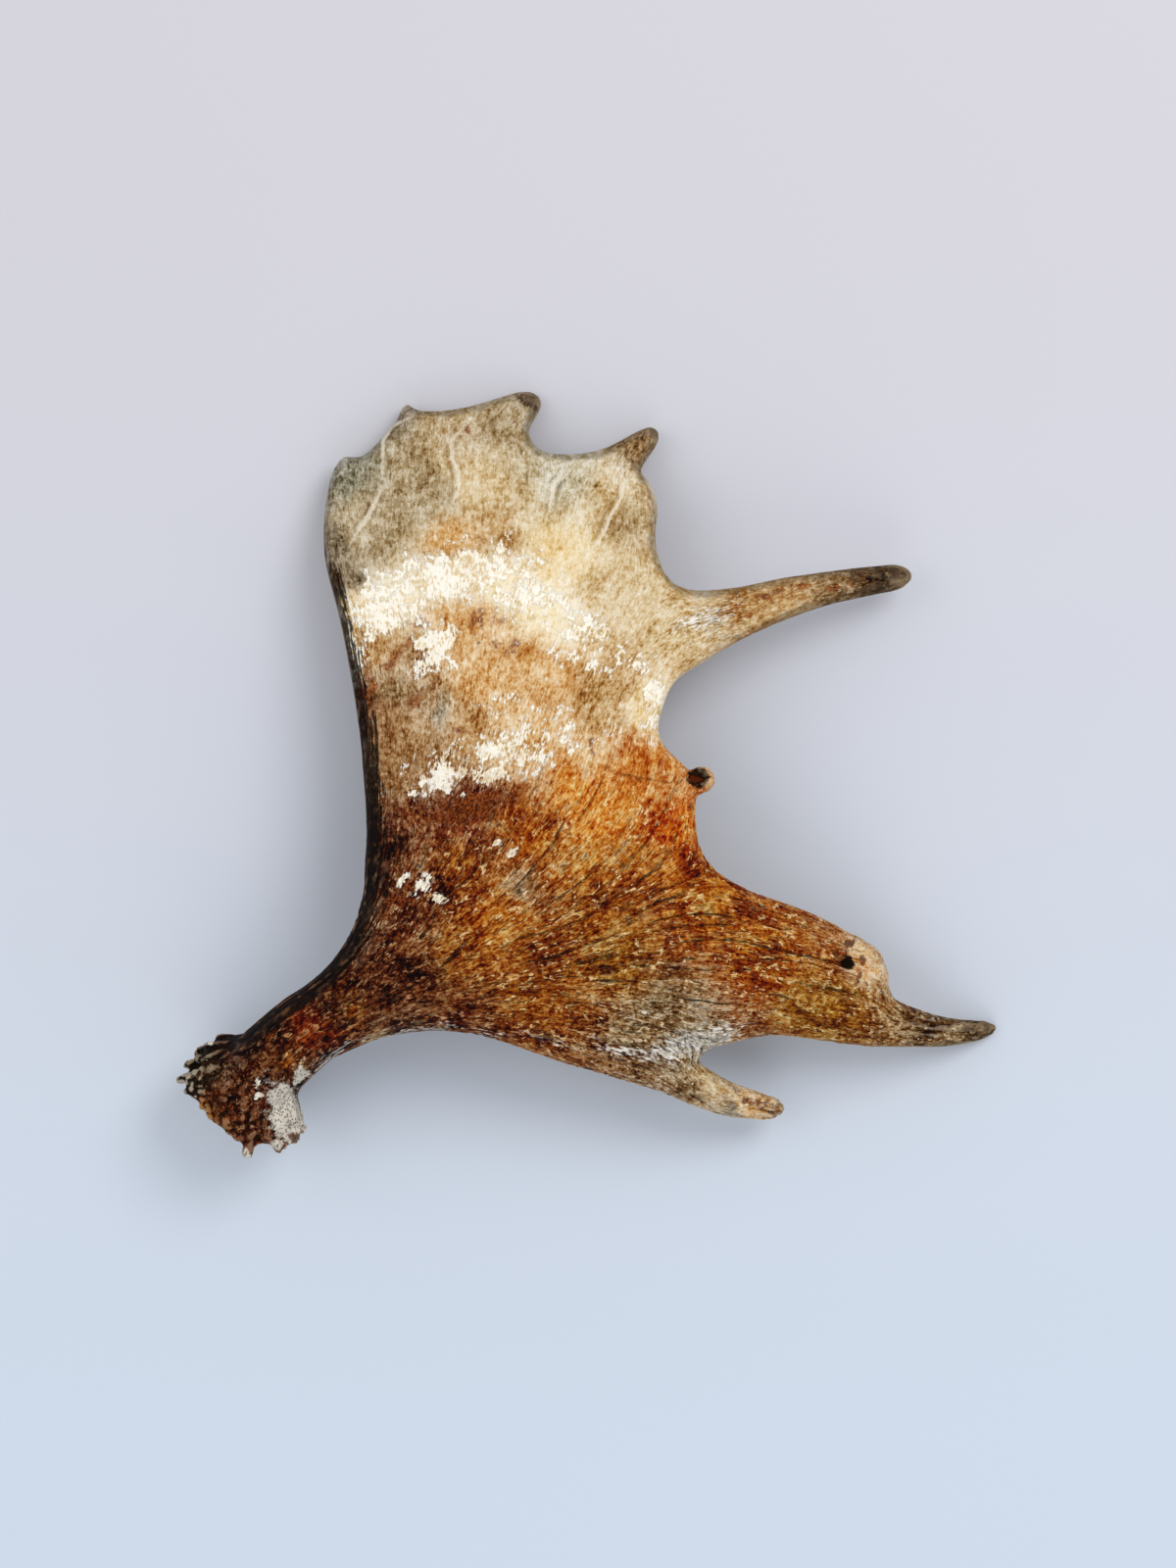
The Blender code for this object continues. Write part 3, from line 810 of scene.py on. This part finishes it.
def tinted(tree, factor, base, over):
    """Base with another colour laid over it by that factor. Either is a socket or a colour()."""
    node = tree.nodes.new("ShaderNodeMix")
    node.data_type = "RGBA"
    node.clamp_factor = True
    factor_slot, base_slot, over_slot = (node.inputs[i] for i in (0, 6, 7))
    put(tree, factor, factor_slot)
    put(tree, base, base_slot)
    put(tree, over, over_slot)
    return node.outputs[2]


def contrasted(tree, base, power):
    """The colour made darker and richer by a power over 1, or lighter and paler by one under 1."""
    node = tree.nodes.new("ShaderNodeGamma")
    put(tree, base, node.inputs["Color"])
    put(tree, power, node.inputs["Gamma"])
    return node.outputs[0]


def grain_group():
    """Node group: noise drawn out along the fibres, from the stored grain, as grain_noise makes it."""
    tree = bpy.data.node_groups.new("fibre_noise", "ShaderNodeTree")
    for name in ("Width", "Length", "Detail", "Roughness", "Seed"):
        tree.interface.new_socket(name, in_out="INPUT", socket_type="NodeSocketFloat")
    tree.interface.new_socket("Value", in_out="OUTPUT", socket_type="NodeSocketFloat")
    given = tree.nodes.new("NodeGroupInput")
    width, length, detail, roughness, seed = (Wire(tree, out) for out in given.outputs[:5])
    along, across, depth = split(tree, attribute(tree, "grain").outputs["Vector"], "Vector")
    tight = Wire(tree, attribute(tree, "tight").outputs["Fac"])
    level = tight.made("LOGARITHM", tight.made("MAXIMUM", tight, 0.001), 2.0)
    whole = level.made("FLOOR", level)
    part = level - whole
    octaves = []
    for step, share in ((0, 1.0 - part), (1, part)):
        octave = whole + step
        scale = 2.0 ** (octave * -1.0)
        vector = joined(
            tree,
            along / length + octave * OCTAVE_SHIFT + seed,
            across * scale / width + seed,
            depth / width,
        )
        octaves.append(noise_node(tree, vector, detail, roughness) * share)
    out = tree.nodes.new("NodeGroupOutput")
    put(tree, octaves[0] + octaves[1], out.inputs[0])
    return tree


# ---------------------------------------------------------------- the bone's material

class BoneNodes:
    """Weathered bone, with painted shade and highlights. Each method lays one kind of mark over the base
    colour so far.
    """

    def __init__(self, tree):
        self.tree = tree
        self.place = tree.nodes.new("ShaderNodeTexCoord").outputs["Object"]
        self.read_marks()
        self.make_noises()

    def read_marks(self):
        """What paint() stored on the mesh."""
        tree = self.tree
        self.tone = attribute(tree, "tone").outputs["Color"]
        self.bleached, self.stained, self.lined = split(tree, attribute(tree, "marks").outputs["Color"])
        self.vein, self.bend, self.rear = split(tree, attribute(tree, "wear").outputs["Color"])
        self.coarse, self.rim, self.chalky = split(tree, attribute(tree, "zones").outputs["Color"])
        self.frost = Wire(tree, attribute(tree, "frost").outputs["Fac"])

    def make_noises(self):
        """Fibres from fine to broad, and spots from large to small, all centred on 0."""
        self.group = grain_group()
        self.hair = self.fibres(width=1.15, length=3.0, octaves=2, roughness=0.5, seed=1.3)
        self.strand = self.fibres(width=2.1, length=7.5, octaves=3, roughness=0.6, seed=5.1)
        self.streak = self.fibres(width=1.3, length=70.0, octaves=4, roughness=0.6, seed=37.7)
        self.broad = self.fibres(width=6.5, length=32.0, octaves=4, roughness=0.6, seed=9.7)
        self.cloud = self.spots(scale=48.0, octaves=6, roughness=0.62)
        self.flaking = self.spots(scale=120.0, octaves=7, roughness=0.62)
        self.mottle = self.spots(scale=270.0, octaves=4, roughness=0.65)
        self.grit = self.spots(scale=700.0, octaves=2, roughness=0.6)
        self.flake = self.hair * 0.20 + self.strand * 0.22 + self.flaking * 0.55 + self.cloud * 0.16

    def fibres(self, width, length, octaves, roughness, seed, gain=4.0):
        """Noise along the fibres. Width and length are in millimetres."""
        node = self.tree.nodes.new("ShaderNodeGroup")
        node.node_tree = self.group
        for slot, value in zip(node.inputs, (width, length, octaves, roughness, seed)):
            slot.default_value = value
        return (Wire(self.tree, node.outputs[0]) - 0.5) * gain

    def spots(self, scale, octaves, roughness):
        """Noise in spots, finer for a larger scale."""
        return (noise_node(self.tree, self.place, octaves, roughness, scale) - 0.5) * 4.0

    def lay(self, factor, over):
        """Lays a colour over the base colour by that factor."""
        self.base = tinted(self.tree, factor, self.base, over)

    def mixed(self, factor, low, high):
        """One screen colour where the factor is 0, another where it is 1."""
        return tinted(self.tree, factor, colour(low), colour(high))

    def lay_tones(self):
        """The tone itself, with darker and lighter fibres round it."""
        tree, tone = self.tree, self.tone
        self.lit = split(tree, tone)[0].between(0.05, 0.32)
        shade = self.hair * 0.66 + self.strand * 0.52 + self.broad * 0.40
        shade = shade + self.cloud * 0.66 + self.mottle * 0.56 + self.grit * 0.30
        shade = shade * (self.coarse * 0.35 + self.frost * 0.8 + 1.35)
        shade = shade - self.coarse * 0.06 - (1.0 - self.lit) * 0.22 - 0.08
        self.base = contrasted(tree, tone, 2.0 ** (shade * -1.0))
        # lighter and darker copies of the tone: the pale one for the painted lip highlights and for
        # rubbed bone, the deep one for painted shade and shadow
        self.pale = contrasted(tree, tone, 0.42)
        self.deep = contrasted(tree, tone, self.frost * 3.0 + 2.4)

    def lay_frost(self):
        """Washed bone with pale frosted fibres."""
        frost_on = self.frost + self.streak * 0.35 + self.strand * 0.40 + self.hair * 0.25
        washed = (self.hair + self.mottle).between(-0.6, 0.4)
        self.lay(frost_on.between(0.50, 0.85) * 0.86, self.mixed(washed, "B5AA96", "F4F1EA"))

    def lay_stains(self):
        """Rusty stains, darker on the coarse grain, with painted shade in the hollows and along the
        steps.
        """
        self.stain_on = (self.stained + self.flake * 0.9).between(0.40, 0.66)
        self.clean = 1.0 - self.stain_on * 0.75
        dark = self.mixed(self.coarse, "5E2408", "200703")
        light = self.mixed(self.coarse, "AA6024", "8A3C0E")
        stain = tinted(self.tree, (self.hair + self.grit).between(-0.5, 1.0), dark, light)
        self.lay(self.stain_on * 0.88, stain)

    def lay_bleached(self):
        """Bleached bone that flakes off in crisp islands."""
        islands = (self.bleached + self.flake * 1.15).between(0.45, 0.58)
        self.bleach_on = islands * self.bleached.between(0.05, 0.22)
        whiter = (self.hair * 1.4 + self.mottle + self.cloud).between(-0.9, 0.4)
        self.lay(self.bleach_on * 0.94, self.mixed(whiter, "D8BF90", "FBF6E9"))

    def lay_ledges(self):
        """Fine ledges that run with the fibres, a painted cream highlight on their lip and painted shadow
        below it.
        """
        ledge = self.fibres(width=4.4, length=15.0, octaves=3, roughness=0.5, seed=14.9, gain=1.0)
        broken = (self.mottle * 0.8 + self.broad * 0.4).between(0.0, 0.22)
        broken = broken * (self.lined + self.frost).clamped()
        self.lip_highlight = ledge.on_line(middle=0.0, reach=0.024, fade=0.012) * broken
        self.under = ledge.on_line(middle=-0.055, reach=0.035, fade=0.03) * broken
        # painted shadow below each ledge, then a painted cream highlight on its lip
        self.lay(self.under * 0.8, self.deep)
        cream = tinted(self.tree, self.lit * 0.42, self.pale, colour("FFE0A8"))
        self.lay(self.lip_highlight * self.clean * 0.95, cream)

    def lay_cracks(self):
        """Long dark cracks."""
        crack = self.fibres(width=2.0, length=20.0, octaves=4, roughness=0.55, seed=23.3, gain=1.0)
        broken = (self.cloud * 0.6 + self.broad * 0.4 + self.frost * 0.6).between(0.0, 0.7)
        self.crack_on = crack.on_line(middle=0.0, reach=0.05, fade=0.04) * broken * self.lined
        self.lay(self.crack_on * 0.45, colour("160803"))

    def lay_rear_edge(self):
        """The streaky black of the rear edge, partly dark stain and partly painted shade, with painted
        shadow in the hollows.
        """
        rear_on = self.rear + self.streak * 0.55 + self.strand * 0.30 + self.hair * 0.10
        rear_streaks = (self.strand + self.streak * 0.7 + self.hair * 0.5).between(0.55, 1.6)
        self.lay(rear_on.between(0.42, 0.60) * 0.95, self.mixed(rear_streaks, "060302", "6E4826"))

    def lay_rim_shade_and_veins(self):
        """Painted shade on the very edge round the points, and pale veins on the upper palm, partly
        painted highlight on their ridges.
        """
        # painted shade along the very edge
        self.lay((self.rim + self.flake * 0.8).between(0.4, 0.9) * 0.5, colour("3A2C1C"))
        # pale veins, partly painted highlight on their ridges
        self.lay((self.vein + self.flake * 0.4).between(0.4, 0.9) * 0.55, colour("E9E1CE"))

    def lay_shade_and_wear(self):
        """Painted shade in the hollows, and rubbed bone on what stands out."""
        # painted shade where the surface hollows, near black on the coarse grain
        crease_shade = tinted(self.tree, self.coarse, self.deep, colour("130904"))
        self.lay((0.5 - self.bend + self.hair * 0.05).between(0.06, 0.32) * 0.85, crease_shade)
        worn = (self.bend - 0.5 + self.hair * 0.05).between(0.12, 0.45) * self.clean
        self.lay(worn * 0.55, self.pale)

    def lay_chalk(self):
        """Pale spongy bone with small pores."""
        pore = self.tree.nodes.new("ShaderNodeTexVoronoi")
        pore.inputs["Scale"].default_value = 620.0
        self.tree.links.new(self.place, pore.inputs["Vector"])
        self.pores = (0.42 - Wire(self.tree, pore.outputs["Distance"])).between(0.0, 0.16)
        chalk_on = (self.chalky + self.flake * 0.5).between(0.40, 0.60) * (1.0 - self.stain_on * 0.9)
        self.lay(chalk_on * 0.92, self.mixed(self.pores * 0.75, "DDD6C8", "57493A"))

    def roughness(self):
        """Nearly dull, and dullest where the bone is bleached."""
        return 0.62 + self.hair * 0.06 + self.mottle * 0.05 + self.bleach_on * 0.15

    def bump_height(self):
        """Relief too fine for the mesh: fibres, flakes, ledges, cracks and pores."""
        height = self.hair * 0.30 + self.strand * 0.34 + self.mottle * 0.22 + self.grit * 0.12
        height = height + self.bleach_on * 0.5 + self.lip_highlight * 0.7 - self.under * 0.9 - self.crack_on
        height = height - self.pores * self.chalky * 1.2
        return height + self.coarse * (self.hair * 0.3 + self.strand * 0.3)


def bone_material():
    """The bone's colour, roughness and fine relief."""
    material = bpy.data.materials.new("antler_bone")
    material.use_nodes = True
    tree = material.node_tree
    shader = tree.nodes["Principled BSDF"]
    bone = BoneNodes(tree)
    bone.lay_tones()
    bone.lay_frost()
    bone.lay_stains()
    bone.lay_bleached()
    bone.lay_ledges()
    bone.lay_cracks()
    bone.lay_rear_edge()
    bone.lay_rim_shade_and_veins()
    bone.lay_shade_and_wear()
    bone.lay_chalk()
    put(tree, bone.base, shader.inputs["Base Color"])
    put(tree, bone.roughness(), shader.inputs["Roughness"])
    shader.inputs["Specular IOR Level"].default_value = 0.05
    bump = tree.nodes.new("ShaderNodeBump")
    bump.inputs["Distance"].default_value = 0.0005
    bump.inputs["Strength"].default_value = 1.0
    put(tree, bone.bump_height(), bump.inputs["Height"])
    put(tree, bump.outputs["Normal"], shader.inputs["Normal"])
    return material


# ---------------------------------------------------------------- floor, light and camera

# In metres.
FLOOR_SIZE = 8.0
CAMERA_HEIGHT = 3.0
MID_HEIGHT = 0.045
PICTURE_HEIGHT = 0.96
CAMERA_AT = (-0.0006, -0.0078)


def floor():
    """A wide sheet of pale paper, a little bluer towards -y."""
    mesh = bpy.data.meshes.new("floor")
    shape = bmesh.new()
    bmesh.ops.create_grid(shape, x_segments=2, y_segments=2, size=FLOOR_SIZE / 2)
    shape.to_mesh(mesh)
    shape.free()
    obj = bpy.data.objects.new("floor", mesh)
    bpy.context.scene.collection.objects.link(obj)
    material = bpy.data.materials.new("floor_paper")
    material.use_nodes = True
    tree = material.node_tree
    shader = tree.nodes["Principled BSDF"]
    place = tree.nodes.new("ShaderNodeTexCoord").outputs["Object"]
    _, y, _ = split(tree, place, "Vector")
    paper = tinted(tree, y.between(-0.5, 0.4), colour("C8D4E3"), colour("CCCBD3"))
    put(tree, paper, shader.inputs["Base Color"])
    shader.inputs["Roughness"].default_value = 0.9
    mesh.materials.append(material)


def lamp(name, place, size, power, tint):
    """A round soft light that faces the origin."""
    light = bpy.data.lights.new(name, "AREA")
    light.shape = "DISK"
    light.size = size
    light.energy = power
    light.color = tint
    obj = bpy.data.objects.new(name, light)
    obj.location = place
    obj.rotation_euler = (-Vector(place)).to_track_quat("-Z", "Y").to_euler()
    bpy.context.scene.collection.objects.link(obj)


def studio():
    """Soft light from three sides, and a pale surround."""
    lamp("key", (1.6, 1.5, 2.6), 2.0, 46, (1.0, 0.985, 0.96))
    lamp("fill", (-2.4, 0.4, 2.4), 2.6, 20, (1.0, 0.99, 0.97))
    lamp("front", (0.2, -2.6, 1.8), 2.0, 14, (1.0, 0.99, 0.98))
    world = bpy.data.worlds.new("studio")
    world.use_nodes = True
    background = world.node_tree.nodes["Background"]
    background.inputs["Color"].default_value = (0.97, 0.98, 1.0, 1)
    background.inputs["Strength"].default_value = 0.66
    bpy.context.scene.world = world
    bpy.context.scene.view_settings.view_transform = "Standard"


def camera():
    """Looks straight down, with a frame as tall as PICTURE_HEIGHT at the antler's middle height."""
    data = bpy.data.cameras.new("camera")
    data.sensor_width = 36
    data.lens = data.sensor_width * (CAMERA_HEIGHT - MID_HEIGHT) / PICTURE_HEIGHT
    obj = bpy.data.objects.new("camera", data)
    obj.location = (*CAMERA_AT, CAMERA_HEIGHT)
    bpy.context.scene.collection.objects.link(obj)
    bpy.context.scene.camera = obj


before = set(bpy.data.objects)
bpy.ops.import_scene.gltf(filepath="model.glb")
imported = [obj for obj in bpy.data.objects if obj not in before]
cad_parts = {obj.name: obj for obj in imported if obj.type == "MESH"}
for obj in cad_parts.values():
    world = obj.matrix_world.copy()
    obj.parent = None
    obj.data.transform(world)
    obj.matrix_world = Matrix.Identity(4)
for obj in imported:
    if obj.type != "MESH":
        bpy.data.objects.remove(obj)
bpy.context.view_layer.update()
camera()
studio()
floor()
bone = bone_mesh(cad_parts[NODE])
bone.data.materials.append(bone_material())
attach(bone, "root")
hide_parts(NODE)
